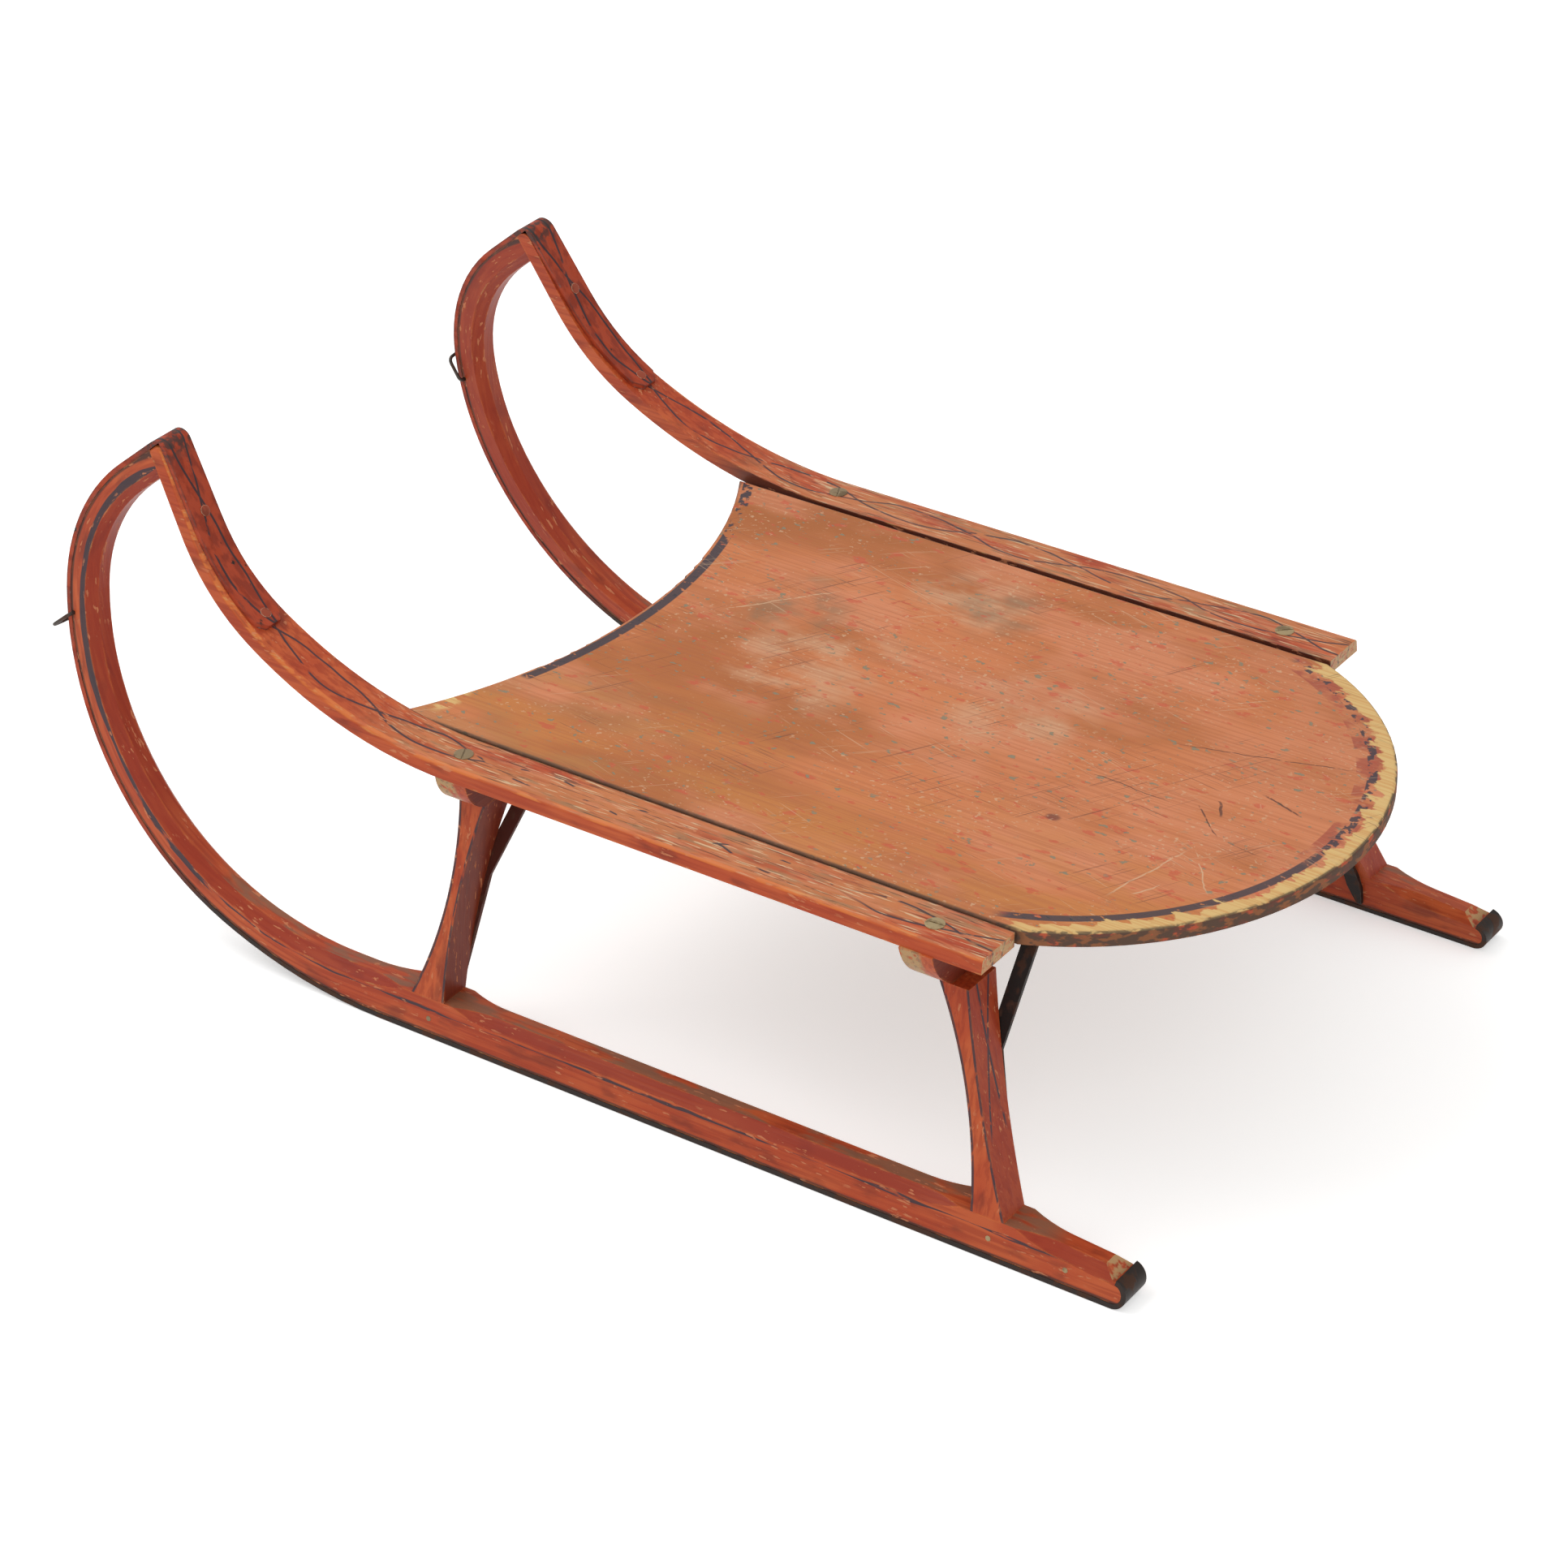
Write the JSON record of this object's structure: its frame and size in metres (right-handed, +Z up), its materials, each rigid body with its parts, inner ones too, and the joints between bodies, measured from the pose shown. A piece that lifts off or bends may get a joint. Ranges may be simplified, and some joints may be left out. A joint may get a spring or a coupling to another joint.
{
  "type": "child's snow sled",
  "caption": "Child's wooden snow sled: plank deck between two rails, bent bow runners on iron shoes, waisted posts, crossbars, iron braces and wire tow loops.",
  "frame": {"origin": "middle of the sled's outline, on the floor under it", "axes": "+Z up, front of the sled towards -Y, its left side towards +X"},
  "size_m": [0.5174, 0.8934, 0.3658],
  "materials": {
    "deck_paint": "old terracotta oil paint on a pine board, worn to bare wood at the tail",
    "frame_paint": "old red-orange oil paint on ash, worn along the edges",
    "strap_iron": "forged strap iron, partly painted red, worn dark on the underside",
    "brace_iron": "forged flat iron, dark brown",
    "wire_iron": "drawn iron wire, dark grey"
  },
  "bodies": {
    "frame": {"deck": "deck_paint", "rail_left": "frame_paint", "rail_right": "frame_paint", "runner_left": "frame_paint", "runner_right": "frame_paint", "post_front_left": "frame_paint", "post_front_right": "frame_paint", "post_rear_left": "frame_paint", "post_rear_right": "frame_paint", "crossbar_front": "frame_paint", "crossbar_rear": "frame_paint", "shoe_left": "strap_iron", "shoe_right": "strap_iron", "brace_front_left": "brace_iron", "brace_front_right": "brace_iron", "brace_rear_left": "brace_iron", "brace_rear_right": "brace_iron"},
    "tow_loop_left": {"tow_loop_left": "wire_iron"},
    "tow_loop_right": {"tow_loop_right": "wire_iron"}
  },
  "joints": [
    {"name": "tow_loop_left_swing", "type": "hinge", "parent": "frame", "child": "tow_loop_left", "pos_m": [0.22076, -0.43015, 0.21813], "axis": [-0.9934, 0, -0.1149], "range_deg": [-32, 106]},
    {"name": "tow_loop_right_swing", "type": "hinge", "parent": "frame", "child": "tow_loop_right", "pos_m": [-0.22076, -0.43015, 0.21813], "axis": [-0.9934, 0, 0.1149], "range_deg": [-136, 2]}
  ]
}
